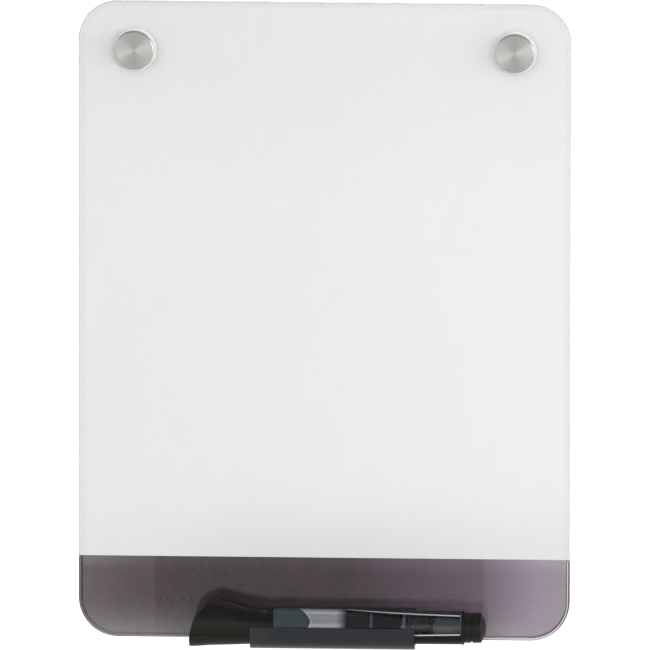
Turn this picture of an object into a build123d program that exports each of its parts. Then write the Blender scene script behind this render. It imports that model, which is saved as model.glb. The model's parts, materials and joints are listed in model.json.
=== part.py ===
from build123d import *
import math
import os

# A small frameless glass marker board in portrait, hung on two round
# standoffs, with a trough on its lower edge that holds one marker.
# Millimetres. X runs to the right, Y into the wall and Z up.
# The origin is on the wall, midway between the two standoffs.

os.makedirs("parts", exist_ok=True)

# Glass panel
board_width = 228.6
board_height = 300.0
glass_thickness = 4.0
corner_radius = 18.4
front_edge_round = 1.9
back_edge_round = 0.6
hole_side_inset = 26.0
hole_top_inset = 22.6
glass_hole_diameter = 10.5
hole_chamfer = 0.4

# Paint and tint on the back of the glass
film_thickness = 0.15
contact_gap = 0.03
film_margin = 0.35
strip_height = 38.0

# Standoffs
barrel_diameter = 18.0
barrel_length = 12.0
barrel_web = 3.0
barrel_chamfer = 0.5
relief_depth = 0.8
relief_clearance = 0.2
stud_diameter = 8.0
stud_chamfer = 0.6
thread_clearance = 0.05
cap_diameter = 18.0
cap_height = 3.0
cap_chamfer = 0.35
stud_socket_depth = 1.9
rear_washer_diameter = 17.0
rear_washer_thickness = 0.8
front_washer_diameter = 20.4
front_washer_thickness = 1.0
washer_chamfer = 0.25
bushing_clearance = 0.15
stud_clearance = 0.2

# Wall fixings
shank_diameter = 4.0
screw_length = 32.0
screw_point_length = 4.0
head_height = 2.4
head_clearance = 0.3
head_end_gap = 0.35
recess_width = 1.0
recess_depth = 1.3
shank_clearance = 0.3
anchor_diameter = 6.0
anchor_length = 27.0
anchor_fit = 0.05
anchor_sleeve_length = 11.0
anchor_neck_step = 0.1
anchor_barb_depth = 0.4
anchor_barb_count = 5
anchor_slot_width = 0.8
anchor_slot_length = 14.0

# Rubber spacers behind the lower corners
bumper_diameter = 11.0
bumper_wall_diameter = 9.0
bumper_round = 0.6
bumper_strip_gap = 14.0

# Trough
tray_width = 76.6
tray_wall = 1.6
tray_clearance = 0.3
tray_back_rise = 7.3
tray_front_rise = 1.0
tray_lip_round = 0.6
tray_shift = 4.75
tray_axis_rise = 8.2
tape_thickness = 0.8
tape_edge_margin = 0.6
tape_end_margin = 4.0

# Marker
marker_overhang = 28.35
cap_length = 38.7
cap_mouth_radius = 8.3
cap_flare = 1.5
cap_hump = 4.25
cap_face_depth = 14.6
cap_face_height = 18.9
cap_ring_depth = 0.25
cap_ring_width = 0.8
cap_ring_setback = 2.2
cap_gap = 0.3
slide_clearance = 0.05
piece_clearance = 0.02
eraser_depth = 3.0
eraser_rim = 1.4
barrel_run = 87.7
barrel_front_radius = 8.1
barrel_rear_radius = 7.65
barrel_wall = 1.35
label_thickness = 0.1
label_setback = 0.2
neck_length = 14.0
neck_step = 1.2
neck_end_gap = 1.0
plug_length = 10.0
nose_length = 5.5
nose_radius = 4.3
nose_taper_length = 1.6
nose_tip_radius = 3.3
nib_radius = 2.4
nib_reach = 4.2
nib_tip_length = 2.2
liner_gap = 0.4
liner_wall = 1.0
liner_reach = 2.2
wick_radius = 5.9
wick_end_gap = 0.3
wick_length = 22.3
baffle_setback = 35.6
baffle_thickness = 1.1
baffle_tube_radius = 1.3
baffle_notch_width = 1.6
baffle_notch_depth = 1.5
ink_gap = 0.1
valve_setback = 15.2
valve_thickness = 1.4
valve_hub_radius = 3.9
valve_hub_length = 1.1
stem_radius = 1.6
stem_reach = 2.2
stem_room = 0.6
shoulder_radius = 3.9
shoulder_thickness = 1.0
seal_tube_radius = 0.7
seal_end_gap = 0.5
collar_sleeve_length = 12.2
collar_flange_length = 1.1
collar_tail_length = 3.1
collar_radius = 7.95
button_radius = 7.0
button_gap = 0.9
button_length = 6.2
button_dome = 2.5
button_round = 0.6
button_boss_inset = 0.5
button_boss_length = 3.1
button_stroke = 0.8
button_floor_gap = 0.3
stem_socket_depth = 3.0
spring_wire_diameter = 0.5
spring_mean_radius = 2.9
spring_turns = 8
spring_end_gap = 0.3

# One length that cutting tools run past what they cut
overrun = 1.0

# Shares, chosen by eye, of the sizes that each outline follows.
# Cap stations: along the cap, of the flare, of the hump.
cap_shares = [
    (0.0, 1.0, 0.66),
    (0.2, 0.75, 0.74),
    (0.372, 0.55, 0.81),
    (0.49, 0.45, 0.61),
    (0.61, 0.32, 0.33),
    (0.75, 0.17, 0.17),
    (0.88, 0.06, 0.05),
    (1.0, 0.0, 0.0),
]
cap_peak_share = 0.60
recess_span_share = 0.62


def cap_radius_at(place):
    """Radius of the cap's round lower half at a distance from its closed end."""
    spot = min(place / cap_length, 1)
    pairs = list(zip(cap_shares, cap_shares[1:]))
    low, high = next(p for p in pairs if spot <= p[1][0])
    part = (spot - low[0]) / (high[0] - low[0])
    flare_share = low[1] + part * (high[1] - low[1])
    return cap_mouth_radius + flare_share * cap_flare


# Places that follow from the sizes above
glass_top = hole_top_inset
glass_bottom = glass_top - board_height
glass_middle = (glass_top + glass_bottom) / 2
hole_x = board_width / 2 - hole_side_inset
film_back = barrel_length + rear_washer_thickness
glass_back = film_back + film_thickness + contact_gap
glass_front = glass_back + glass_thickness
washer_back = glass_front + contact_gap
washer_front = washer_back + front_washer_thickness
cap_front = washer_front + cap_height
strip_top = glass_bottom + strip_height

stud_radius = stud_diameter / 2
bore_radius = stud_radius + thread_clearance
head_radius = stud_radius - head_clearance
screw_head_top = barrel_web + head_height
stud_start = screw_head_top + head_end_gap
stud_end = washer_front + stud_socket_depth - head_end_gap
anchor_bore_radius = shank_diameter / 2 + anchor_fit
anchor_radius = anchor_diameter / 2

tray_inner_radius = cap_radius_at(marker_overhang) + tray_clearance
tray_outer_radius = tray_inner_radius + tray_wall
tape_front = glass_front + contact_gap + tape_thickness
axis_out = tape_front + tray_outer_radius
axis_height = glass_bottom + tray_axis_rise
marker_left = tray_shift - tray_width / 2 - marker_overhang

cap_mouth = cap_length
barrel_start = cap_mouth + cap_gap
barrel_end = barrel_start + barrel_run
bore = barrel_rear_radius - barrel_wall
insert_radius = bore - piece_clearance
neck_radius = barrel_front_radius - neck_step
neck_start = barrel_start - neck_length
nose_start = neck_start - nose_length
nib_start = nose_start - nib_reach
plug_end = barrel_start + plug_length
liner_inner_radius = nose_radius + liner_gap
liner_outer_radius = liner_inner_radius + liner_wall
liner_end = neck_start - neck_end_gap
liner_start = nib_start - liner_reach
wick_start = plug_end + wick_end_gap
wick_end = wick_start + wick_length
valve_end = barrel_end - collar_sleeve_length - valve_setback + valve_thickness
valve_start = valve_end - valve_thickness
baffle_end = valve_start - valve_setback + baffle_thickness
sleeve_start = barrel_end - collar_sleeve_length
shoulder_end = sleeve_start - spring_end_gap
shoulder_start = shoulder_end - shoulder_thickness
flange_end = barrel_end + collar_flange_length
tail_end = flange_end + collar_tail_length
button_start = tail_end + button_gap
button_end = button_start + button_length
boss_radius = button_radius - button_boss_inset
boss_start = button_start - button_boss_length
pocket_floor = boss_start - button_stroke - button_floor_gap
stem_end = boss_start + stem_socket_depth
stem_start = valve_start - valve_hub_length - stem_reach
seal_ring_radius = stem_radius + seal_tube_radius / 2
seal_middle = stem_start + seal_tube_radius + seal_end_gap
stem_seal_radius = seal_ring_radius + seal_tube_radius


def turned(*points):
    """Turn a closed outline of (along, radius) points about the X axis."""
    outline = Polyline(*points, close=True)
    return revolve(make_face(outline), Axis.X)


def ring(start, end, outer, inner):
    """A plain tube along X."""
    return turned((start, inner), (end, inner), (end, outer), (start, outer))


def bar(start, end, radius):
    """A plain rod along X."""
    return turned((start, 0), (end, 0), (end, radius), (start, radius))


def out_from_wall(side, height=0):
    """Place a piece drawn along X so that it stands out of the wall."""
    return Pos(side * hole_x, 0, height) * Rot(0, 0, -90)


def on_marker(piece):
    """Place a piece drawn along the marker's own axis in the trough."""
    return Pos(marker_left, -axis_out, axis_height) * piece


def save(name, piece):
    export_step(piece, f"parts/{name}.step")


def edges_at(piece, place):
    """The edges of a turned piece whose every point lies at one X."""
    box_of = [(edge, edge.bounding_box()) for edge in piece.edges()]
    near = piece_clearance / 2
    return [e for e, b in box_of if abs(b.min.X - place) < near and abs(b.max.X - place) < near]


def wall_holes(start, end, radius):
    """Both standoff holes, from one distance off the wall to another."""
    tool = bar(start, end, radius)
    return [out_from_wall(side) * tool for side in (-1, 1)]


def sheet(width, height, radius, back, thickness):
    """A round-cornered sheet centred on the glass, facing out of the wall."""
    outline = RectangleRounded(width, height, radius)
    plane = Plane(origin=(0, -back, glass_middle), x_dir=(1, 0, 0), z_dir=(0, -1, 0))
    return extrude(plane * outline, amount=thickness)


# Glass and what is printed on its back
def make_glass():
    panel = sheet(board_width, board_height, corner_radius, glass_back, glass_thickness)
    for place, size in ((0, front_edge_round), (-1, back_edge_round)):
        face = panel.faces().sort_by(Axis.Y)[place]
        panel = fillet(face.outer_wire().edges(), size)
    hole_radius = glass_hole_diameter / 2
    cutter = turned(
        (glass_back - overrun, 0),
        (glass_front + overrun, 0),
        (glass_front + overrun, hole_radius + hole_chamfer + overrun),
        (glass_front - hole_chamfer, hole_radius),
        (glass_back + hole_chamfer, hole_radius),
        (glass_back - overrun, hole_radius + hole_chamfer + overrun),
    )
    for side in (-1, 1):
        panel -= out_from_wall(side) * cutter
    return panel


def make_film():
    inset = 2 * film_margin
    film = sheet(
        board_width - inset,
        board_height - inset,
        corner_radius - film_margin,
        film_back,
        film_thickness,
    )
    film -= wall_holes(film_back - overrun, glass_back + overrun, glass_hole_diameter / 2)
    line = Plane(origin=(0, 0, strip_top), z_dir=(0, 0, 1))
    upper = split(film, bisect_by=line, keep=Keep.TOP)
    lower = split(film, bisect_by=line, keep=Keep.BOTTOM)
    return upper, lower


# Standoff pieces, drawn along X with the wall at zero
def make_standoff_barrel():
    radius = barrel_diameter / 2
    body = turned(
        (0, anchor_radius + relief_clearance),
        (relief_depth, shank_diameter / 2 + shank_clearance),
        (barrel_web, shank_diameter / 2 + shank_clearance),
        (barrel_web, bore_radius),
        (barrel_length, bore_radius),
        (barrel_length, radius - barrel_chamfer),
        (barrel_length - barrel_chamfer, radius),
        (barrel_chamfer, radius),
        (0, radius - barrel_chamfer),
    )
    return body


def make_wall_screw():
    tip = barrel_web - screw_length
    shank = shank_diameter / 2
    body = turned(
        (tip, 0),
        (screw_head_top, 0),
        (screw_head_top, head_radius),
        (barrel_web, head_radius),
        (barrel_web, shank),
        (tip + screw_point_length, shank),
    )
    span = head_radius * 2 * recess_span_share
    for size in ((recess_width, span), (span, recess_width)):
        slot = Box(recess_depth * 2, size[0], size[1])
        body -= Pos(screw_head_top, 0, 0) * slot
    return body


def make_wall_anchor():
    """A nylon plug with a plain sleeve, then a split and barbed tail."""
    high = anchor_radius - anchor_neck_step
    low = high - anchor_barb_depth
    points = [
        (-anchor_length, anchor_bore_radius),
        (0, anchor_bore_radius),
        (0, anchor_radius),
        (-anchor_sleeve_length, anchor_radius),
    ]
    step = (anchor_length - anchor_sleeve_length) / anchor_barb_count
    for barb in range(anchor_barb_count):
        start = -anchor_sleeve_length - barb * step
        points.extend([(start, high), (start - step, low)])
    body = turned(*points)
    span = 2 * (anchor_radius + overrun)
    length = anchor_slot_length + overrun
    middle = -anchor_length - overrun + length / 2
    for size in ((anchor_slot_width, span), (span, anchor_slot_width)):
        body -= Pos(middle, 0, 0) * Box(length, size[0], size[1])
    return body


def make_washer(start, thickness, diameter):
    end = start + thickness
    radius = diameter / 2
    inner = stud_radius + stud_clearance
    return turned(
        (start, inner),
        (end, inner),
        (end, radius - washer_chamfer),
        (end - washer_chamfer, radius),
        (start + washer_chamfer, radius),
        (start, radius - washer_chamfer),
    )


def make_bushing():
    outer = glass_hole_diameter / 2 - bushing_clearance
    inner = stud_radius + stud_clearance
    return ring(film_back, glass_front - bushing_clearance, outer, inner)


def make_standoff_cap():
    radius = cap_diameter / 2
    socket_end = washer_front + stud_socket_depth
    return turned(
        (washer_front, stud_radius + piece_clearance),
        (socket_end, stud_radius + piece_clearance),
        (socket_end, 0),
        (cap_front, 0),
        (cap_front, radius - cap_chamfer),
        (cap_front - cap_chamfer, radius),
        (washer_front, radius),
    )


def make_cap_stud():
    return turned(
        (stud_start, 0),
        (stud_end, 0),
        (stud_end, stud_radius - stud_chamfer),
        (stud_end - stud_chamfer, stud_radius),
        (stud_start + stud_chamfer, stud_radius),
        (stud_start, stud_radius - stud_chamfer),
    )


def make_bumper():
    foot = turned(
        (0, 0),
        (film_back, 0),
        (film_back, bumper_diameter / 2),
        (0, bumper_wall_diameter / 2),
    )
    return fillet(edges_at(foot, 0), bumper_round)


# Trough and its tape
def make_tray():
    outer = tray_outer_radius
    inner = tray_inner_radius
    outline = [
        Line((outer, tray_back_rise), (outer, 0)),
        ThreePointArc((outer, 0), (0, -outer), (-outer, 0)),
        Line((-outer, 0), (-outer, tray_front_rise)),
        Line((-outer, tray_front_rise), (-inner, tray_front_rise)),
        Line((-inner, tray_front_rise), (-inner, 0)),
        ThreePointArc((-inner, 0), (0, -inner), (inner, 0)),
        Line((inner, 0), (inner, tray_back_rise)),
        Line((inner, tray_back_rise), (outer, tray_back_rise)),
    ]
    section = make_face(Wire(outline))
    lips = [v for v in section.vertices() if v.Y > tray_front_rise / 2]
    section = fillet(lips, tray_lip_round)
    start = tray_shift - tray_width / 2
    plane = Plane(origin=(start, -axis_out, axis_height), x_dir=(0, 1, 0), z_dir=(1, 0, 0))
    return extrude(plane * section, amount=tray_width)


def make_tray_tape():
    height = tray_back_rise - tape_edge_margin - tray_lip_round
    length = tray_width - 2 * tape_end_margin
    centre_y = tape_thickness / 2 - tape_front
    centre_z = axis_height + tape_edge_margin / 2 + height / 2
    return Pos(tray_shift, centre_y, centre_z) * Box(length, tape_thickness, height)


# Marker cap, whose closed end is a tall curved eraser face
def cap_section(place, radius, top):
    """One section of the cap: round below, taller and oval above."""
    plane = Plane(origin=(place, 0, 0), x_dir=(0, 1, 0), z_dir=(1, 0, 0))
    lower = CenterArc((0, 0), radius, 180, 180)
    upper = EllipticalCenterArc((0, 0), radius, top, 0, arc_size=180)
    return plane * make_face(Wire([lower, upper]))


def cap_loft(inset):
    """The cap's full body, or the same body drawn in by an inset."""
    sections = []
    for along_share, flare_share, hump_share in cap_shares:
        radius = cap_mouth_radius + flare_share * cap_flare
        top = radius + hump_share * cap_hump
        sections.append(cap_section(along_share * cap_length, radius - inset, top - inset))
    return loft(sections)


def cap_side(shift):
    """The side view of the cap, with its curved end moved along by a shift."""
    tall = cap_mouth_radius + cap_flare + cap_hump + overrun
    deep = cap_mouth_radius + cap_flare + overrun
    peak = cap_mouth_radius + cap_flare + cap_hump * cap_peak_share
    centre_z = peak - cap_face_height
    end = cap_length + overrun
    curve = Pos(cap_face_depth, centre_z) * Ellipse(cap_face_depth, cap_face_height)
    low = Pos(end / 2, (centre_z - deep) / 2) * Rectangle(end, centre_z + deep)
    rest = end - cap_face_depth
    high = Pos(cap_face_depth + rest / 2, (tall - deep) / 2) * Rectangle(rest, tall + deep)
    outline = curve + low + high
    return extrude(Plane.XZ.offset(-tall) * Pos(shift, 0) * outline, amount=2 * tall)


def make_marker_cap():
    body = cap_loft(0) & cap_side(0)
    body -= eraser_shape(0)
    bore_end = cap_mouth + overrun
    body -= bar(liner_end, bore_end, neck_radius + slide_clearance)
    body -= bar(liner_start, liner_end + overrun, liner_outer_radius + piece_clearance)
    ring_start = cap_mouth - cap_ring_setback
    groove_floor = cap_mouth_radius - cap_ring_depth
    body -= ring(ring_start - cap_ring_width, ring_start, cap_mouth_radius * 2, groove_floor)
    return body


def eraser_shape(clearance):
    inner = cap_loft(eraser_rim + clearance) & cap_side(0)
    return inner - cap_side(eraser_depth - clearance)


def make_cap_liner():
    floor_end = liner_start + liner_wall
    return turned(
        (liner_start, 0),
        (floor_end, 0),
        (floor_end, liner_inner_radius),
        (liner_end, liner_inner_radius),
        (liner_end, liner_outer_radius),
        (liner_start, liner_outer_radius),
    )


# Marker body
def barrel_radius_at(place):
    share = (place - barrel_start) / barrel_run
    return barrel_front_radius + share * (barrel_rear_radius - barrel_front_radius)


def make_marker_barrel():
    return turned(
        (barrel_start, bore),
        (barrel_end, bore),
        (barrel_end, barrel_rear_radius),
        (barrel_start, barrel_front_radius),
    )


def make_barrel_label():
    start = barrel_start + label_setback
    end = barrel_end - label_setback
    low = [(p, barrel_radius_at(p) + piece_clearance) for p in (start, end)]
    high = [(p, r + label_thickness) for p, r in low]
    return turned(low[0], low[1], high[1], high[0])


def make_grip_section():
    tip_start = nose_start + nose_taper_length
    hole = nib_radius + piece_clearance
    return turned(
        (nose_start, hole),
        (plug_end, hole),
        (plug_end, insert_radius),
        (barrel_start, insert_radius),
        (barrel_start, neck_radius),
        (neck_start, neck_radius),
        (neck_start, nose_radius),
        (tip_start, nose_radius),
        (nose_start, nose_tip_radius),
    )


def make_nib():
    rod = bar(nib_start, wick_start, nib_radius)
    return fillet(edges_at(rod, nib_start), nib_tip_length)


def make_baffle(clearance=0):
    """The notched disc and feed tube, or the room that they need in the ink."""
    disc_start = baffle_end - baffle_thickness - clearance
    disc_end = baffle_end + clearance
    disc = bar(disc_start, disc_end, insert_radius)
    middle = (disc_start + disc_end) / 2
    width = baffle_notch_width - 2 * clearance
    depth = baffle_notch_depth - clearance
    for turn in range(4):
        notch = Box(2 * baffle_thickness, width, 2 * depth)
        disc -= Rot(90 * turn, 0, 0) * Pos(middle, 0, insert_radius) * notch
    return disc + bar(wick_end, disc_end, baffle_tube_radius + clearance)


def make_ink():
    start = wick_end + wick_end_gap
    end = valve_start - valve_hub_length - piece_clearance
    fill = bar(start, end, bore - ink_gap) - make_baffle(piece_clearance)
    room = stem_start - button_stroke - stem_room
    return fill - bar(room, end + overrun, stem_seal_radius + stem_room)


def make_valve_body():
    hole = stem_radius + slide_clearance
    hub_start = valve_start - valve_hub_length
    return turned(
        (hub_start, hole),
        (valve_end, hole),
        (valve_end, insert_radius),
        (valve_start, insert_radius),
        (valve_start, valve_hub_radius),
        (hub_start, valve_hub_radius),
    )


def make_stem_seal():
    """A rubber ring carried in a groove near the stem's tip."""
    tube = Circle(seal_tube_radius)
    return revolve(Pos(seal_middle, seal_ring_radius) * tube, Axis.X)


def make_pump_stem():
    body = bar(stem_start, stem_end, stem_radius)
    body += bar(shoulder_start, shoulder_end, shoulder_radius)
    half = seal_tube_radius + piece_clearance
    floor = seal_ring_radius - half
    return body - ring(seal_middle - half, seal_middle + half, stem_radius + overrun, floor)


def make_rear_collar():
    hole = stem_radius + slide_clearance
    pocket = boss_radius + slide_clearance
    return turned(
        (sleeve_start, hole),
        (pocket_floor, hole),
        (pocket_floor, pocket),
        (tail_end, pocket),
        (tail_end, button_radius),
        (flange_end, button_radius),
        (flange_end, collar_radius),
        (barrel_end, collar_radius),
        (barrel_end, insert_radius),
        (sleeve_start, insert_radius),
    )


def make_pump_button():
    """A domed push button with a boss that slides in the collar."""
    dome_start = button_end - button_dome
    dome_radius = (button_radius**2 + button_dome**2) / (2 * button_dome)
    spread = math.asin(button_radius / dome_radius) / 2
    halfway = button_end - dome_radius * (1 - math.cos(spread))
    outline = [
        Line((button_start, 0), (button_start, button_radius)),
        Line((button_start, button_radius), (dome_start, button_radius)),
        ThreePointArc(
            (dome_start, button_radius),
            (halfway, dome_radius * math.sin(spread)),
            (button_end, 0),
        ),
        Line((button_end, 0), (button_start, 0)),
    ]
    body = revolve(make_face(Wire(outline)), Axis.X)
    body = fillet(edges_at(body, dome_start), button_round)
    body += bar(boss_start, button_start + piece_clearance, boss_radius)
    return body - bar(boss_start - overrun, stem_end + piece_clearance, stem_radius + piece_clearance)


# Return spring, one wire wound around the stem
def spring_point(turn, start, pitch):
    angle = 2 * math.pi * turn
    across = spring_mean_radius * math.cos(angle)
    up = spring_mean_radius * math.sin(angle)
    return Vector(start + pitch * turn, across, up)


def spring_direction(turn, pitch):
    angle = 2 * math.pi * turn
    speed = 2 * math.pi * spring_mean_radius
    return Vector(pitch, -speed * math.sin(angle), speed * math.cos(angle)).normalized()


def biarc(first, second, leaving, arriving):
    """Two arcs that join two points along two given directions."""
    gap = second - first
    both = leaving + arriving
    # The arms are as long as makes the middle of the control path straight.
    a = 4 - both.dot(both)
    b = 2 * gap.dot(both)
    c = -gap.dot(gap)
    arm = (-b + math.sqrt(b * b - 4 * a * c)) / (2 * a)
    middle = (first + leaving * arm + second - arriving * arm) * 0.5
    return middle


def make_pump_spring():
    wire = spring_wire_diameter
    start = valve_end + wire / 2 + piece_clearance
    end = shoulder_start - wire / 2 - piece_clearance
    pitch = (end - start) / spring_turns
    steps = spring_turns * 4
    points = [spring_point(i / 4, start, pitch) for i in range(steps + 1)]
    ways = [spring_direction(i / 4, pitch) for i in range(steps + 1)]
    first = points[0] - ways[0] * wire
    last = points[-1] + ways[-1] * wire
    edges = [Line(first, points[0])]
    for i in range(steps):
        middle = biarc(points[i], points[i + 1], ways[i], ways[i + 1])
        edges.append(TangentArc(points[i], middle, tangent=ways[i]))
        way = edges[-1] % 1
        edges.append(TangentArc(middle, points[i + 1], tangent=way))
    edges.append(Line(points[-1], last))
    path = Wire(edges)
    profile = Plane(origin=first, z_dir=ways[0]) * Circle(wire / 2)
    report_spring_gap(start, pitch)
    return sweep(profile, path=path)


def report_spring_gap(start, pitch):
    """Print the least gap between one curl and the next."""
    samples = 48
    here = [spring_point(i / samples, start, pitch) for i in range(samples + 1)]
    onward = [spring_point(0.5 + i / samples, start, pitch) for i in range(samples + 1)]
    least = min((p - q).length for p in here for q in onward if abs(q.X - p.X) > pitch / 2)
    print(f"spring gap {least - spring_wire_diameter:.2f} mm, pitch {pitch:.2f} mm")


def build():
    save("glass_panel", make_glass())
    upper, lower = make_film()
    save("white_backing", upper)
    save("smoke_backing", lower)
    standoff_pieces = {
        "standoff_barrel": make_standoff_barrel(),
        "wall_screw": make_wall_screw(),
        "wall_anchor": make_wall_anchor(),
        "rear_washer": make_washer(barrel_length, rear_washer_thickness, rear_washer_diameter),
        "hole_bushing": make_bushing(),
        "front_washer": make_washer(washer_back, front_washer_thickness, front_washer_diameter),
        "standoff_cap": make_standoff_cap(),
        "cap_stud": make_cap_stud(),
    }
    bumper_height = strip_top + bumper_strip_gap
    for side, word in ((-1, "left"), (1, "right")):
        for name, piece in standoff_pieces.items():
            save(f"{word}_{name}", out_from_wall(side) * piece)
        save(f"{word}_bumper", out_from_wall(side, bumper_height) * make_bumper())
    save("marker_tray", make_tray())
    save("tray_tape", make_tray_tape())
    marker_pieces = {
        "marker_barrel": make_marker_barrel(),
        "barrel_label": make_barrel_label(),
        "grip_section": make_grip_section(),
        "marker_nib": make_nib(),
        "ink_wick": bar(wick_start, wick_end, wick_radius),
        "ink_baffle": make_baffle(),
        "ink_fill": make_ink(),
        "valve_body": make_valve_body(),
        "stem_seal": make_stem_seal(),
        "pump_stem": make_pump_stem(),
        "pump_spring": make_pump_spring(),
        "rear_collar": make_rear_collar(),
        "pump_button": make_pump_button(),
        "marker_cap": make_marker_cap(),
        "cap_liner": make_cap_liner(),
        "cap_eraser": eraser_shape(piece_clearance),
    }
    for name, piece in marker_pieces.items():
        save(name, on_marker(piece))


build()
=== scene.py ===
import bpy
import json
import math
from mathutils import Matrix, Vector


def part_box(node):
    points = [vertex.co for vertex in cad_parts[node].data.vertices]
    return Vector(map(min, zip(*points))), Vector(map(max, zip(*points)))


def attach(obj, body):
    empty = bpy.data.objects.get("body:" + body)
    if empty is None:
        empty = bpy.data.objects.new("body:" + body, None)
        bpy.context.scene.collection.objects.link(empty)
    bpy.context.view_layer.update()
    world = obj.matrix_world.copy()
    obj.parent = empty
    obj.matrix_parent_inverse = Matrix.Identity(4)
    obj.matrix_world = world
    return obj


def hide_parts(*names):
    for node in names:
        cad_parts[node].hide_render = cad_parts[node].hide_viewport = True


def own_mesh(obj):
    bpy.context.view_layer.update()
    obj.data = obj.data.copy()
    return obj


# The looks of a small glass marker board: materials, lamps, floor, camera.
# Metres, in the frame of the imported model.
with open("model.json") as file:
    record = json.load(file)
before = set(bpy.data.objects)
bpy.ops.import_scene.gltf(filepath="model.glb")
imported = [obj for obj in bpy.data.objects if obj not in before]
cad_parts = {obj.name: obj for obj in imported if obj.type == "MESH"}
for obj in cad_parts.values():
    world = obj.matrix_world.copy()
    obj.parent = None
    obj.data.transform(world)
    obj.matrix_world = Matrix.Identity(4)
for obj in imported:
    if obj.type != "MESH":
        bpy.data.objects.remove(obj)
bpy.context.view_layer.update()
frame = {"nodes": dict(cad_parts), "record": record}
nodes = frame["nodes"]


def middle(name, axis):
    low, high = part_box(name)
    return (low[axis] + high[axis]) / 2


mm = 0.001
hole_x = middle("right_standoff_cap", 0)
cap_end_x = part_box("marker_cap")[0][0]
cap_mouth_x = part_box("marker_cap")[1][0]
marker_y = middle("marker_barrel", 1)
marker_z = middle("marker_barrel", 2)
strip_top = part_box("smoke_backing")[1][2]
strip_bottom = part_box("smoke_backing")[0][2]
half_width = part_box("glass_panel")[1][0]
half_height = (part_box("glass_panel")[1][2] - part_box("glass_panel")[0][2]) / 2
panel_z = middle("glass_panel", 2)
corner_radius = 18.4 * mm
tray_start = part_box("marker_tray")[0][0]
tray_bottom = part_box("marker_tray")[0][2]
barrel_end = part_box("marker_barrel")[1][0]
sleeve_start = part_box("rear_collar")[0][0]
sleeve_radius = 6.9 * mm
label_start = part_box("barrel_label")[0][0]
spring_low, spring_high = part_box("pump_spring")


# A number in a material, so that formulas read as formulas
class Term:
    def __init__(self, look, socket):
        self.look = look
        self.socket = socket

    def with_other(self, operation, first, second):
        return self.look.math(operation, first, second)

    def __add__(self, other):
        return self.with_other("ADD", self, other)

    def __radd__(self, other):
        return self.with_other("ADD", other, self)

    def __sub__(self, other):
        return self.with_other("SUBTRACT", self, other)

    def __rsub__(self, other):
        return self.with_other("SUBTRACT", other, self)

    def __mul__(self, other):
        return self.with_other("MULTIPLY", self, other)

    def __rmul__(self, other):
        return self.with_other("MULTIPLY", other, self)

    def __truediv__(self, other):
        return self.with_other("DIVIDE", self, other)

    def __rtruediv__(self, other):
        return self.with_other("DIVIDE", other, self)

    def __abs__(self):
        return self.look.math("ABSOLUTE", self)


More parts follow.
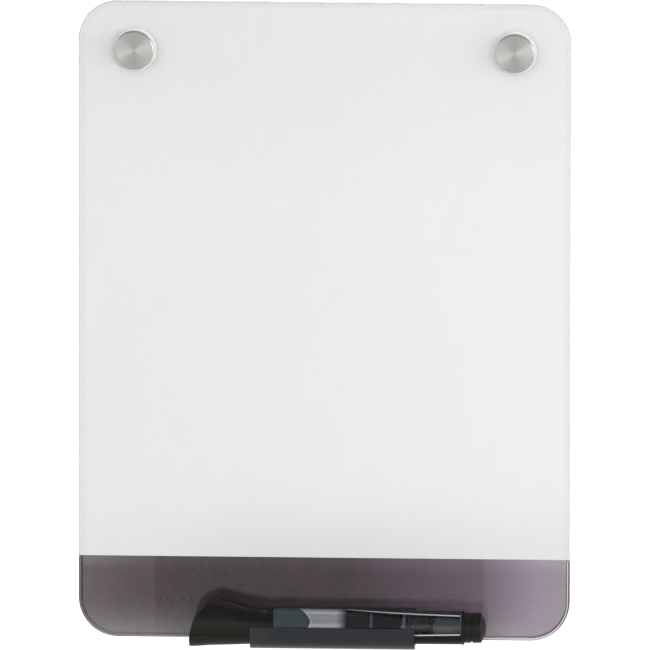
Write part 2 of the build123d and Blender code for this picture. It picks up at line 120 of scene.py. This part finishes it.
class Look:
    """One procedural material or world, with short names for its nodes."""

    def __init__(self, tree):
        self.tree = tree
        where = self.node("ShaderNodeTexCoord")
        self.point = where.outputs["Object"]
        self.way = where.outputs["Generated"]

    def node(self, kind, **settings):
        made = self.tree.nodes.new(kind)
        for name, value in settings.items():
            setattr(made, name, value)
        return made

    def feed(self, socket, value):
        if isinstance(value, Term):
            value = value.socket
        if isinstance(value, bpy.types.NodeSocket):
            self.tree.links.new(value, socket)
        elif isinstance(value, tuple) and len(value) == 3 and socket.type == "RGBA":
            socket.default_value = (*value, 1)
        else:
            socket.default_value = value

    def math(self, operation, *values):
        made = self.node("ShaderNodeMath", operation=operation)
        for socket, value in zip(made.inputs, values):
            self.feed(socket, value)
        return Term(self, made.outputs[0])

    def split(self, vector=None):
        made = self.node("ShaderNodeSeparateXYZ")
        self.feed(made.inputs[0], vector or self.point)
        return [Term(self, out) for out in made.outputs]

    def rise(self, value, low, high, start=0.0, end=1.0):
        """Goes smoothly from start to end as the value goes from low to high."""
        made = self.node("ShaderNodeMapRange", interpolation_type="SMOOTHSTEP")
        for name, item in (
            ("Value", value),
            ("From Min", low),
            ("From Max", high),
            ("To Min", start),
            ("To Max", end),
        ):
            self.feed(made.inputs[name], item)
        return Term(self, made.outputs[0])

    def band(self, value, middle_at, width, soft):
        """One inside a band about a value, and nothing outside it."""
        away = abs(value - middle_at)
        return self.rise(away, width / 2 + soft, width / 2 - soft if width / 2 > soft else 0.0)

    def depth_in_panel(self, x, z):
        """How far inside the board's round-cornered outline a point lies."""
        past_x = abs(x) - (half_width - corner_radius)
        past_z = abs(z - panel_z) - (half_height - corner_radius)
        over_x = self.math("MAXIMUM", past_x, 0.0)
        over_z = self.math("MAXIMUM", past_z, 0.0)
        corner = self.math("SQRT", over_x * over_x + over_z * over_z)
        within = self.math("MINIMUM", self.math("MAXIMUM", past_x, past_z), 0.0)
        return corner_radius - corner - within

    def noise(self, scale, detail, roughness, stretch=None):
        made = self.node("ShaderNodeTexNoise", noise_dimensions="3D")
        vector = self.point
        if stretch:
            mapping = self.node("ShaderNodeMapping")
            self.feed(mapping.inputs["Vector"], vector)
            mapping.inputs["Scale"].default_value = stretch
            vector = mapping.outputs[0]
        self.feed(made.inputs["Vector"], vector)
        made.inputs["Scale"].default_value = scale
        made.inputs["Detail"].default_value = detail
        made.inputs["Roughness"].default_value = roughness
        return Term(self, made.outputs[0])

    def line_noise(self, value, scale, detail):
        made = self.node("ShaderNodeTexNoise", noise_dimensions="1D")
        self.feed(made.inputs["W"], value)
        made.inputs["Scale"].default_value = scale
        made.inputs["Detail"].default_value = detail
        return Term(self, made.outputs[0])

    def mix(self, share, first, second):
        made = self.node("ShaderNodeMix", data_type="RGBA")
        self.feed(made.inputs[0], share)
        self.feed(made.inputs[6], first)
        self.feed(made.inputs[7], second)
        return made.outputs[2]

    def scaled(self, colour, level):
        """A colour times a level, which may be past one."""
        made = self.node("ShaderNodeVectorMath", operation="SCALE")
        self.feed(made.inputs[0], colour)
        self.feed(made.inputs["Scale"], level)
        return made.outputs[0]

    def ramp(self, share, stops):
        made = self.node("ShaderNodeValToRGB")
        self.feed(made.inputs[0], share)
        band = made.color_ramp
        while len(band.elements) < len(stops):
            band.elements.new(1.0)
        for element, (place, colour) in zip(band.elements, stops):
            element.position = place
            element.color = (*colour, 1)
        return made.outputs[0]

    def bump(self, height, depth, strength):
        made = self.node("ShaderNodeBump")
        made.inputs["Strength"].default_value = strength
        made.inputs["Distance"].default_value = depth
        self.feed(made.inputs["Height"], height)
        return made.outputs[0]


class Surface(Look):
    """A principled material for one material slot of the record."""

    def __init__(self, name):
        self.material = bpy.data.materials.new(name + "_look")
        self.material.use_nodes = True
        super().__init__(self.material.node_tree)
        self.shader = self.tree.nodes["Principled BSDF"]
        self.output = self.tree.nodes["Material Output"]

    def set(self, **values):
        for name, value in values.items():
            self.feed(self.shader.inputs[name.replace("_", " ")], value)

    def let_light_in(self, colour):
        """Lamp light and bounced light pass straight through the clear piece."""
        path = self.node("ShaderNodeLightPath")
        share = self.math("MAXIMUM", path.outputs["Is Shadow Ray"], path.outputs["Is Diffuse Ray"])
        clear = self.node("ShaderNodeBsdfTransparent")
        self.feed(clear.inputs["Color"], colour)
        both = self.node("ShaderNodeMixShader")
        self.feed(both.inputs[0], share)
        self.feed(both.inputs[1], self.shader.outputs[0])
        self.feed(both.inputs[2], clear.outputs[0])
        self.feed(self.output.inputs["Surface"], both.outputs[0])


def glass_look():
    look = Surface("glass")
    smear = look.noise(9, 4, 0.6, stretch=(1.0, 1.0, 0.35))
    faint = look.rise(smear, 0.4, 0.8, 1.0, 0.985)
    x, _, z = look.split()
    depth = look.depth_in_panel(x, z)
    # The ground rim is half frosted, and smoky beside the strip.
    rim_depth = 0.5 * mm
    rim_soft = 0.1 * mm
    strip_soft = 0.3 * mm
    painted_dark_line_depth = 1.4 * mm
    painted_dark_line_width = 0.9 * mm
    painted_glint_depth = 0.95 * mm
    painted_glint_width = 0.36 * mm
    black = (0.0, 0.0, 0.0)
    white = (1.0, 1.0, 1.0)
    clear_rim = (0.8, 0.83, 0.82)
    smoky_rim = (0.04, 0.037, 0.04)
    rim = look.rise(depth, rim_depth + rim_soft, rim_depth - rim_soft)
    by_strip = look.rise(z, strip_top + strip_soft, strip_top - strip_soft)
    # Painted shade and painted highlight: a dark line and a pale glint run round the rounded edge
    # beside the strip. They stand in for how the rounding bends and catches the light, and the glint is
    # brighter at the right.
    painted_dark_line = look.band(depth, painted_dark_line_depth, painted_dark_line_width, 0.15 * mm) * by_strip
    painted_glint = look.band(depth, painted_glint_depth, painted_glint_width, 0.1 * mm) * by_strip
    painted_glint = painted_glint * look.rise(x, -50 * mm, 100 * mm, 0.12, 0.75)
    tone = look.mix(faint - 0.4 * painted_dark_line, black, white)
    tone = look.mix(rim, tone, look.mix(by_strip, clear_rim, smoky_rim))
    tone = look.mix(painted_glint, tone, (0.9, 0.9, 0.9))
    look.set(
        Base_Color=tone,
        Transmission_Weight=1.0 - look.math("MAXIMUM", rim * (0.5 + 0.5 * by_strip), painted_glint),
        IOR=1.32,
        Roughness=rim * (0.15 + 0.45 * by_strip),
    )
    look.let_light_in((0.96, 0.96, 0.96))
    return look


def white_paint_look():
    look = Surface("white_paint")
    x, _, z = look.split()
    grain = look.noise(1400, 2, 0.6)
    cloud = look.noise(26, 3, 0.5)
    field_left = -100 * mm
    field_right = 110 * mm
    # Painted shade: the field is a little greyer towards the strip, least at the left.
    painted_shade_reach = 60 * mm
    deepest_painted_shade = 0.11
    low = look.rise(z, strip_top + painted_shade_reach, strip_top)
    side = look.rise(x, field_left, 0.0, 0.35, 1.0) * look.rise(x, 20 * mm, field_right, 1.0, 0.7)
    shade = 1.0 - deepest_painted_shade * low * low * low * side
    shade = shade + (grain - 0.5) * 0.03 + (cloud - 0.5) * 0.014
    # Painted shade: it is greyer towards the top and the left too, as the light falls, and along its
    # outer edge.
    shade = shade * look.rise(z, -80 * mm, 10 * mm, 1.0, 0.955)
    shade = shade * look.rise(x, field_left, field_right, 0.985, 1.022)
    shade = shade * look.rise(look.depth_in_panel(x, z), 2.6 * mm, 3.2 * mm, 0.95, 1.0)
    # Painted light: the paint is paler round the caps, standing in for light that the caps and the
    # glass throw back into the shade round them.
    halo_radius = 17 * mm
    cap_radius = 9 * mm
    beside = abs(x) - hole_x
    away = look.math("SQRT", beside * beside + z * z)
    shade = shade + look.rise(away, halo_radius, cap_radius, 0.0, 0.1)
    look.set(
        Base_Color=look.scaled((0.885, 0.885, 0.885), shade),
        Roughness=look.rise(cloud, 0.3, 0.7, 0.36, 0.46),
        Specular_IOR_Level=0.1,
    )
    return look


def smoke_tint_look():
    look = Surface("smoke_tint")
    x, _, z = look.split()
    grain = look.noise(620, 3, 0.7)
    mottle = look.noise(130, 3, 0.6)
    across = (x + half_width) / (2 * half_width)
    # Painted light and shade: the tint is lighter at both ends and darkest in the middle, standing in
    # for the lit and shaded wall seen through it.
    tone = look.ramp(
        across,
        [
            (0.0, (0.146, 0.129, 0.139)),
            (0.12, (0.084, 0.074, 0.081)),
            (0.153, (0.083, 0.071, 0.079)),
            (0.157, (0.052, 0.046, 0.05)),
            (0.3, (0.04, 0.036, 0.04)),
            (0.55, (0.039, 0.036, 0.041)),
            (0.82, (0.149, 0.116, 0.152)),
            (0.94, (0.31, 0.27, 0.328)),
            (1.0, (0.318, 0.297, 0.326)),
        ],
    )
    # A painted step in the light, soft and upright, near the right, like the one near the left.
    painted_light_step = look.rise(x, 72.8 * mm, 75.2 * mm, 0.82, 1.0)
    # Painted light: a little paler towards the strip's lower edge.
    low = look.rise(z, strip_top, strip_bottom, 0.97, 1.04)
    grain_level = look.rise(x, 0.0, 90 * mm, 0.12, 0.4)
    level = painted_light_step * low + (grain - 0.5) * grain_level + (mottle - 0.5) * 0.12
    # Paler towards the strip's top, least at the right.
    pale_reach = 8 * mm
    near_top = look.rise(z, strip_top - pale_reach, strip_top)
    level = level * (1.0 + near_top * look.rise(x, 30 * mm, 90 * mm, 0.62, 0.25))
    # Painted dark lines run round the edge, standing in for the way the rounding bends the view of the
    # tint.
    depth = look.depth_in_panel(x, z)
    level = level * (1.0 - 0.35 * look.band(depth, 1.6 * mm, 0.5 * mm, 0.15 * mm))
    level = level * (1.0 - 0.4 * look.rise(depth, 0.9 * mm, 0.6 * mm))
    dark = look.scaled(tone, level)
    # Painted light: paler towards the lower edge, least at the right.
    low_reach = 17 * mm
    below = look.math("MAXIMUM", (strip_top - low_reach - z) / low_reach, 0.0)
    haze_and_painted_light = 0.125 * below * below * look.rise(x, 85 * mm, 108 * mm, 1.0, 0.1)
    dark = look.mix(haze_and_painted_light, dark, (1.0, 1.0, 1.0))
    # A painted glint runs round the edge, stronger at the right.
    painted_edge_glint = look.band(depth, 1.1 * mm, 0.3 * mm, 0.12 * mm)
    painted_edge_glint = painted_edge_glint * look.rise(x, 0.0, 100 * mm, 0.06, 0.3)
    dark = look.mix(painted_edge_glint, dark, (0.8, 0.8, 0.8))
    look.set(
        Base_Color=dark,
        Roughness=look.rise(mottle, 0.3, 0.7, 0.24, 0.34),
        Specular_IOR_Level=0.16,
        Specular_Tint=(1.0, 0.05, 0.25),
    )
    return look


def smoke_acrylic_look():
    look = Surface("smoke_acrylic")
    haze_and_painted_light = look.noise(55, 3, 0.5)
    scratch = look.noise(260, 4, 0.7, stretch=(0.12, 1.0, 1.0))
    x, _, z = look.split()
    colour = look.mix(haze_and_painted_light, (0.025, 0.0265, 0.032), (0.033, 0.0345, 0.04))
    # The lower edge is painted paler, as light falls on it, and the left end is paler too.
    low = look.rise(z, tray_bottom + 5.5 * mm, tray_bottom + 0.5 * mm)
    left = look.rise(x, tray_start + 13 * mm, tray_start + 6 * mm)
    painted_pale_edges = look.math("MAXIMUM", low * low, left * haze_and_painted_light * 0.45)
    look.set(
        Base_Color=look.mix(painted_pale_edges, colour, (0.075, 0.077, 0.069)),
        Transmission_Weight=0.25,
        IOR=1.49,
        Specular_IOR_Level=0.25,
        Roughness=look.rise(scratch, 0.45, 0.75, 0.04, 0.12),
        Normal=look.bump(scratch, 0.01 * mm, 0.2),
    )
    return look


def foam_tape_look():
    look = Surface("foam_tape")
    cells = look.node("ShaderNodeTexVoronoi", feature="F1")
    look.feed(cells.inputs["Vector"], look.point)
    cells.inputs["Scale"].default_value = 2600
    pore = Term(look, cells.outputs["Distance"])
    look.set(
        Base_Color=look.mix(pore, (0.5, 0.5, 0.49), (0.8, 0.8, 0.79)),
        Roughness=0.85,
        Normal=look.bump(pore, 0.12 * mm, 0.6),
    )
    return look


def clear_plastic_look():
    look = Surface("clear_plastic")
    flow = look.noise(120, 2, 0.5, stretch=(0.1, 1.0, 1.0))
    look.set(
        Base_Color=(0.96, 0.97, 0.975),
        Transmission_Weight=1.0,
        IOR=1.2,
        Roughness=look.rise(flow, 0.35, 0.75, 0.0, 0.008),
    )
    look.let_light_in((0.93, 0.94, 0.945))
    return look


def label_print_look():
    look = Surface("label_print")
    x, y, z = look.split()
    along = (x - cap_end_x) / mm
    round_it = look.math("ARCTAN2", z - marker_z, marker_y - y) * (180 / math.pi)
    grain = look.noise(1800, 2, 0.5)
    # Places below are millimetres from the cap's end, or degrees round the marker.
    # A blue grey end with a curved border, then a silver panel.
    blue_grey = (0.028, 0.043, 0.0525)
    black = (0.012, 0.012, 0.014)
    bow_middle = 24.6
    bow_half = 75.4
    bow_blend = 0.016
    border_tip = 57.4
    border_depth = 7.2
    border_soft = 0.15
    bow = (round_it - bow_middle) / bow_half
    border = border_tip - border_depth * look.math("SQRT", bow * bow + bow_blend)
    past_border = look.rise(along, border - border_soft, border + border_soft)
    edge_line = look.band(along - border, 0.3, 0.5, 0.12)
    # Two painted glints run along the silver, which fades to black at its end.
    painted_glint = look.math("MAXIMUM", look.band(round_it, 62, 12, 8), look.band(round_it, 13, 8, 6))
    brushed = look.noise(340, 3, 0.6, stretch=(0.08, 1.0, 1.0))
    silver = look.mix(brushed, (0.15, 0.155, 0.17), (0.25, 0.255, 0.27))
    silver = look.mix(painted_glint * 0.5, silver, (0.5, 0.51, 0.53))
    colour = look.mix(past_border, blue_grey, silver)
    colour = look.mix(edge_line * 0.6, colour, (0.42, 0.44, 0.45))
    # Black print with a clear window that white lines border.
    silver_end = 67.8
    black_start = 73.6
    in_black = look.rise(along, silver_end, black_start)
    colour = look.mix(in_black, colour, black)
    # The window's upper border falls along a hyperbola, and its lower one is straight.
    upper_level = 36.8
    upper_fall = 1196.7
    upper_pole = 49.6
    lower_slope = 0.166
    lower_level = 33.2
    border_blur = 0.8
    upper = upper_level + upper_fall / (along - upper_pole)
    lower = along * lower_slope - lower_level
    window_start = 73.1
    window_end = 126.0
    end_soft = 0.1
    inside = look.rise(along, window_start - end_soft, window_start + end_soft)
    inside = inside * look.rise(along, window_end + end_soft, window_end - end_soft)
    window = inside * look.rise(round_it, upper + border_blur, upper - border_blur)
    window = window * look.rise(round_it, lower - border_blur, lower + border_blur)
    line_middle = 2.6
    line_width = 5.0
    line_soft = 0.2
    upper_line = look.band(round_it - upper, line_middle, line_width, border_blur)
    lower_line = look.band(round_it - lower, -line_middle, line_width, border_blur)
    above_lower = look.rise(round_it, lower - (line_width + line_soft), lower - line_width)
    below_upper = look.rise(round_it, upper + (line_width + line_soft), upper + line_width)
    between = above_lower * below_upper
    white_lines = look.math("MAXIMUM", upper_line, lower_line) * inside * between
    rear_line = look.band(along, 126.2, 0.7, end_soft) * between
    lines = look.math("MAXIMUM", white_lines, rear_line * 0.12)
    colour = look.mix(lines, colour, (0.56, 0.58, 0.6))
    # Painted shade: the underside is the blackest. The side towards the ink is greyer.
    below = look.rise(round_it, lower - 6.0, lower - 9.0)
    colour = look.mix(in_black * below, colour, (0.004, 0.0038, 0.001))
    aside = y - marker_y
    drop = z - marker_z
    radius = look.math("SQRT", aside * aside + drop * drop)
    # The label tapers with the barrel, and this radius is the middle of its thickness.
    front_radius = 8.17 * mm
    taper = 0.005
    half_step = 0.02 * mm
    label_radius = front_radius - (x - label_start) * taper
    inner = look.rise(radius, label_radius + half_step, label_radius - half_step)
    colour = look.mix(in_black * inner, colour, (0.11, 0.108, 0.12))
    speck = 0.06 * grain * (1.0 - 0.6 * below)
    look.set(
        Base_Color=look.mix(speck, colour, (0.5, 0.5, 0.5)),
        Roughness=look.rise(grain, 0.3, 0.7, 0.2, 0.3),
        Specular_IOR_Level=0.12,
        Alpha=1.0 - window,
    )
    return look


def black_plastic_look():
    look = Surface("black_plastic")
    skin = look.noise(900, 3, 0.6)
    wear = look.noise(70, 4, 0.65, stretch=(0.4, 1.0, 1.0))
    colour = look.mix(look.rise(wear, 0.35, 0.8), (0.006, 0.006, 0.0055), (0.011, 0.011, 0.0095))
    x, y, z = look.split()
    drop = z - marker_z
    aside = y - marker_y
    # Painted reflection: the cap is a little browner below, where its gloss reflects the room, with a
    # parting line.
    on_cap = look.rise(x, cap_mouth_x, cap_mouth_x - 0.5 * mm)
    lower_half = look.rise(drop, 3.4 * mm, 3.0 * mm)
    colour = look.mix(on_cap * lower_half, colour, (0.0095, 0.0093, 0.0068))
    parting = look.band(drop, -2.8 * mm, 0.6 * mm, 0.2 * mm)
    colour = look.mix(on_cap * parting * 0.9, colour, (0.001, 0.001, 0.001))
    # The sleeve inside the barrel: bluer above and greyer below.
    radius = look.math("SQRT", aside * aside + drop * drop)
    soft = 0.1 * mm
    inside = look.rise(radius, sleeve_radius + soft, sleeve_radius)
    inside = inside * look.rise(x, sleeve_start - soft, sleeve_start)
    inside = inside * look.rise(x, barrel_end + soft, barrel_end)
    sleeve = look.mix(look.rise(drop, 2.2 * mm, 1.6 * mm), (0.024, 0.029, 0.045), (0.058, 0.059, 0.058))
    look.set(
        Base_Color=look.mix(inside, colour, sleeve),
        Roughness=look.rise(wear, 0.3, 0.75, 0.3, 0.42),
        Specular_IOR_Level=0.24,
        Normal=look.bump(skin, 0.012 * mm, 0.35),
    )
    return look


def grey_plastic_look():
    look = Surface("grey_plastic")
    skin = look.noise(1300, 3, 0.6)
    flow = look.noise(180, 2, 0.5)
    # Darker and bluer above, as the inside of the marker looks.
    x, _, z = look.split()
    low = look.rise(z - marker_z, 2.2 * mm, 0.8 * mm)
    light = look.mix(low, (0.05, 0.056, 0.085), (0.14, 0.144, 0.143))
    dark = look.mix(low, (0.026, 0.03, 0.045), (0.08, 0.083, 0.083))
    # Darker where the spring is.
    soft = 0.2 * mm
    spring_zone = look.rise(x, spring_low[0] - soft, spring_low[0])
    spring_zone = spring_zone * look.rise(x, spring_high[0] + soft, spring_high[0])
    look.set(
        Base_Color=look.mix(0.8 * spring_zone, look.mix(flow, dark, light), (0.022, 0.022, 0.026)),
        Roughness=look.rise(flow, 0.3, 0.7, 0.35, 0.5),
        Normal=look.bump(skin, 0.02 * mm, 0.4),
    )
    return look


def fibre_look(name, first, second, stretch, depth):
    look = Surface(name)
    strand = look.noise(2300, 4, 0.7, stretch=stretch)
    clump = look.noise(480, 3, 0.6)
    look.set(
        Base_Color=look.mix(strand * 0.7 + clump * 0.3, first, second),
        Roughness=0.92,
        Sheen_Weight=0.03,
        Sheen_Roughness=0.5,
        Specular_IOR_Level=0.1,
        Normal=look.bump(strand + clump * 0.5, depth, 0.9),
    )
    return look


def ink_look():
    look = Surface("ink")
    swirl = look.noise(240, 3, 0.5)
    look.set(
        Base_Color=look.mix(swirl, (0.004, 0.004, 0.006), (0.012, 0.012, 0.016)),
        Roughness=look.rise(swirl, 0.3, 0.7, 0.1, 0.18),
        Specular_IOR_Level=0.05,
    )
    return look


def rubber_look():
    look = Surface("rubber")
    skin = look.noise(1500, 4, 0.7)
    dust = look.noise(140, 3, 0.6)
    look.set(
        Base_Color=look.mix(look.rise(dust, 0.4, 0.8), (0.018, 0.018, 0.018), (0.045, 0.044, 0.042)),
        Roughness=look.rise(dust, 0.3, 0.7, 0.6, 0.8),
        Normal=look.bump(skin, 0.04 * mm, 0.6),
    )
    return look


def metal_look(name, colour, roughness, grooves):
    """Drawn or plated metal, whose marks run along Y, as the screws do."""
    look = Surface(name)
    mark = look.noise(grooves, 4, 0.65, stretch=(1.0, 0.06, 1.0))
    cloud = look.noise(160, 3, 0.5)
    dark = tuple(0.8 * part for part in colour)
    look.set(
        Base_Color=look.mix(look.rise(cloud, 0.3, 0.8), colour, dark),
        Metallic=1.0,
        Roughness=look.rise(mark, 0.25, 0.75, roughness * 0.75, roughness * 1.3),
        Normal=look.bump(mark, 0.01 * mm, 0.5),
    )
    return look


def turned_metal_look(name, colour, roughness, depth, anisotropic):
    """Metal turned on a lathe: rings about each standoff's own axis."""
    look = Surface(name)
    x, _, z = look.split()
    beside = x - look.math("SIGN", x) * hole_x
    radius = look.math("SQRT", beside * beside + z * z)
    fine = look.line_noise(radius, 9000, 2)
    coarse = look.line_noise(radius, 1500, 2)
    around = look.math("ARCTAN2", z, beside)
    streak = look.rise(look.line_noise(around, 9, 3), 0.4, 0.75)
    dark = tuple(0.82 * part for part in colour)
    rings = fine * 0.6 + coarse * 0.4
    look.set(
        Base_Color=look.mix(look.rise(rings, 0.3, 0.7) * 0.5 + streak * 0.3, colour, dark),
        Metallic=1.0,
        Roughness=look.rise(rings, 0.3, 0.7, roughness * 0.85, roughness * 1.15),
        Anisotropic=anisotropic,
        Anisotropic_Rotation=0.25,
        Normal=look.bump(rings, depth, 0.5),
    )
    tangent = look.node("ShaderNodeTangent", direction_type="RADIAL", axis="Y")
    look.feed(look.shader.inputs["Tangent"], tangent.outputs[0])
    return look


def nylon_look():
    look = Surface("nylon")
    skin = look.noise(1200, 3, 0.6)
    cloud = look.noise(150, 2, 0.5)
    look.set(
        Base_Color=look.mix(cloud, (0.52, 0.52, 0.5), (0.66, 0.66, 0.64)),
        Roughness=look.rise(cloud, 0.3, 0.7, 0.42, 0.56),
        Subsurface_Weight=0.1,
        Subsurface_Scale=0.0006,
        Normal=look.bump(skin, 0.03 * mm, 0.4),
    )
    return look


def clear_nylon_look():
    look = Surface("clear_nylon")
    skin = look.noise(1000, 3, 0.6)
    x = look.split()[0]
    beside = x - look.math("SIGN", x) * hole_x
    # Painted highlight: clearer at its left than at its right, as the photographed ones are, so the
    # lamps light a pale crescent at the right.
    look.set(
        Base_Color=look.mix(skin, (0.97, 0.975, 0.975), (1.0, 1.0, 1.0)),
        Transmission_Weight=look.rise(beside, -9 * mm, 9 * mm, 0.85, 0.35),
        IOR=1.14,
        Roughness=look.rise(skin, 0.3, 0.7, 0.05, 0.12),
    )
    look.let_light_in((0.98, 0.98, 0.98))
    return look


looks = {
    "glass": glass_look(),
    "white_paint": white_paint_look(),
    "smoke_tint": smoke_tint_look(),
    "smoke_acrylic": smoke_acrylic_look(),
    "foam_tape": foam_tape_look(),
    "clear_plastic": clear_plastic_look(),
    "label_print": label_print_look(),
    "black_plastic": black_plastic_look(),
    "grey_plastic": grey_plastic_look(),
    "felt": fibre_look("felt", (0.008, 0.008, 0.009), (0.045, 0.045, 0.046), (1, 1, 1), 0.12 * mm),
    "wick_fibre": fibre_look(
        "wick_fibre", (0.02, 0.02, 0.024), (0.1, 0.1, 0.11), (0.05, 1, 1), 0.08 * mm
    ),
    "ink": ink_look(),
    "rubber": rubber_look(),
    "spring_steel": metal_look("spring_steel", (0.13, 0.127, 0.14), 0.5, 900),
    "nylon": nylon_look(),
    "clear_nylon": clear_nylon_look(),
    "satin_steel": turned_metal_look("satin_steel", (0.55, 0.55, 0.54), 0.32, 0.01 * mm, 0.5),
    "spun_steel": turned_metal_look("spun_steel", (0.63, 0.63, 0.6), 0.42, 0.008 * mm, 0.8),
    "zinc_steel": metal_look("zinc_steel", (0.55, 0.56, 0.58), 0.34, 700),
}

for entry in frame["record"]["subparts"]:
    carried = nodes[entry["node"]]
    carried.data.materials.clear()
    carried.data.materials.append(looks[entry["material_slot"]].material)


# Return spring: one wire, which on the real marker shortens as the button is pressed; here it is one
# fixed mesh
def spring_mesh(start, end, wire_radius, mean_radius, turns, centre_y, centre_z):
    pitch = (end - start) / turns
    speed = 2 * math.pi * mean_radius
    steps_per_turn = 32
    sides = 12
    points = []
    ways = []
    outward = []
    for step in range(steps_per_turn * turns + 1):
        angle = 2 * math.pi * step / steps_per_turn
        out = Vector((0, math.cos(angle), math.sin(angle)))
        centre = Vector((start + pitch * step / steps_per_turn, centre_y, centre_z))
        points.append(centre + out * mean_radius)
        ways.append(Vector((pitch, -speed * math.sin(angle), speed * math.cos(angle))).normalized())
        outward.append(out)
    # A short straight end each way, as the wire has.
    first_end = points[0] - ways[0] * 2 * wire_radius
    last_end = points[-1] + ways[-1] * 2 * wire_radius
    points = [first_end, *points, last_end]
    ways = [ways[0], *ways, ways[-1]]
    outward = [outward[0], *outward, outward[-1]]
    verts = []
    for point, way, out in zip(points, ways, outward):
        beside = way.cross(out)
        for side in range(sides):
            angle = 2 * math.pi * side / sides
            verts.append(point + (out * math.cos(angle) + beside * math.sin(angle)) * wire_radius)
    faces = [tuple(range(sides - 1, -1, -1))]
    for ring in range(len(points) - 1):
        first = ring * sides
        for side in range(sides):
            onward = (side + 1) % sides
            faces.append((first + side, first + onward, first + sides + onward, first + sides + side))
    last = (len(points) - 1) * sides
    faces.append(tuple(range(last, last + sides)))
    mesh = bpy.data.meshes.new("return_spring")
    mesh.from_pydata(verts, [], faces)
    mesh.shade_smooth()
    return mesh


wire_radius = 0.25 * mm
spring_radius = (spring_high[2] - spring_low[2]) / 2 - wire_radius
spring_turns = 8
# The curls begin this far inside the ends of the spring's box.
end_inset = 0.29 * mm
spring_data = spring_mesh(
    spring_low[0] + end_inset,
    spring_high[0] - end_inset,
    wire_radius,
    spring_radius,
    spring_turns,
    marker_y,
    marker_z,
)
spring_data.materials.append(looks["spring_steel"].material)
spring = bpy.data.objects.new("return_spring", spring_data)
bpy.context.scene.collection.objects.link(spring)
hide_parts("pump_spring")
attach(spring, "marker")
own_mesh(spring)

# Floor: white to the camera and in reflections, and it still takes shadows
floor_z = tray_bottom - 180 * mm
floor_half = 30.0
floor_mesh = bpy.data.meshes.new("floor")
corners = [(-1, -1), (1, -1), (1, 1), (-1, 1)]
floor_points = [(a * floor_half, b * floor_half, floor_z) for a, b in corners]
floor_mesh.from_pydata(floor_points, [], [(0, 1, 2, 3)])
floor = bpy.data.objects.new("floor", floor_mesh)
bpy.context.scene.collection.objects.link(floor)
pale = Surface("floor")
floor_tone = pale.mix(pale.noise(3, 3, 0.5), (0.7, 0.7, 0.7), (0.72, 0.72, 0.72))
pale.set(Base_Color=floor_tone, Roughness=0.9)
floor_rays = pale.node("ShaderNodeLightPath").outputs
direct = pale.math("MAXIMUM", floor_rays["Is Camera Ray"], floor_rays["Is Transmission Ray"])
glow = direct * 0.6 + Term(pale, floor_rays["Is Glossy Ray"]) * 0.1
pale.set(Emission_Color=(1.0, 1.0, 1.0), Emission_Strength=glow, Specular_IOR_Level=0.0)
floor_mesh.materials.append(pale.material)

# World: white behind the object, dimmer overhead where gloss sees it, and
# as ambient light strongest from the front and weakest from the sides.
world = bpy.data.worlds.new("studio")
world.use_nodes = True
bpy.context.scene.world = world
sky = Look(world.node_tree)
_, direction_y, direction_z = sky.split(sky.way)
sky_rays = sky.node("ShaderNodeLightPath").outputs
glossy_ray = Term(sky, sky_rays["Is Glossy Ray"])
overhead_level = 0.22
side_level = 0.29
front_level = 2.11
back_level = 0.75
overhead = sky.rise(direction_z, 0.12, 0.6, 1.0, overhead_level)
from_front = sky.rise(direction_y, -0.45, -1.0, side_level, front_level)
from_back = sky.rise(direction_y, 0.3, 1.0, 0.0, back_level)
ambient = from_front + from_back
white = sky.math("MAXIMUM", sky_rays["Is Camera Ray"], sky_rays["Is Transmission Ray"])
level = white + (1.0 - white) * (glossy_ray * overhead + (1.0 - glossy_ray) * ambient)
background = world.node_tree.nodes["Background"]
sky.feed(background.inputs["Color"], (1.0, 1.0, 1.0))
sky.feed(background.inputs["Strength"], level)


# Lamps
board_middle = Vector((0, 0, -130 * mm))


def lamp(name, place, width, height, power):
    """A soft panel lamp that faces the middle of the board."""
    data = bpy.data.lights.new(name, "AREA")
    data.shape = "RECTANGLE"
    data.size = width
    data.size_y = height
    data.energy = power
    made = bpy.data.objects.new(name, data)
    bpy.context.scene.collection.objects.link(made)
    aim = board_middle - Vector(place)
    turn = aim.to_track_quat("-Z", "Y").to_matrix().to_4x4()
    made.matrix_world = Matrix.Translation(place) @ turn


lamp("key", (1.9, -2.4, 0.0), 3.2, 0.85, 15.5)
lamp("fill", (-2.0, -2.4, 0.0), 3.4, 0.85, 7.2)
lamp("side", (2.4, -0.45, 0.35), 0.8, 1.6, 14.5)
lamp("back_fill", (0.6, 2.6, 1.4), 1.8, 1.4, 26)

# Camera: a long lens, as far away as the photo's near parallel edges ask
yaw = math.radians(2.88)
pitch = math.radians(10.13)
roll = math.radians(0.070)
distance = 12.0
focal_in_pixels = 25837.2
image_width = 650
target = Vector((0.23, -14.98, -129.31)) * mm
back = Vector((math.sin(yaw) * math.cos(pitch), -math.cos(yaw) * math.cos(pitch), math.sin(pitch)))
level_right = (-back).cross(Vector((0, 0, 1))).normalized()
level_up = level_right.cross(-back)
right = level_right * math.cos(roll) + level_up * math.sin(roll)
up = level_up * math.cos(roll) - level_right * math.sin(roll)
lens = bpy.data.cameras.new("camera")
lens.sensor_width = 36.0
lens.lens = lens.sensor_width * focal_in_pixels / image_width
lens.clip_start = 0.1
lens.clip_end = 200.0
camera = bpy.data.objects.new("camera", lens)
bpy.context.scene.collection.objects.link(camera)
turn = Matrix((right, up, back)).transposed().to_4x4()
camera.matrix_world = Matrix.Translation(target + back * distance) @ turn
bpy.context.scene.camera = camera

bpy.context.scene.view_settings.view_transform = "Standard"
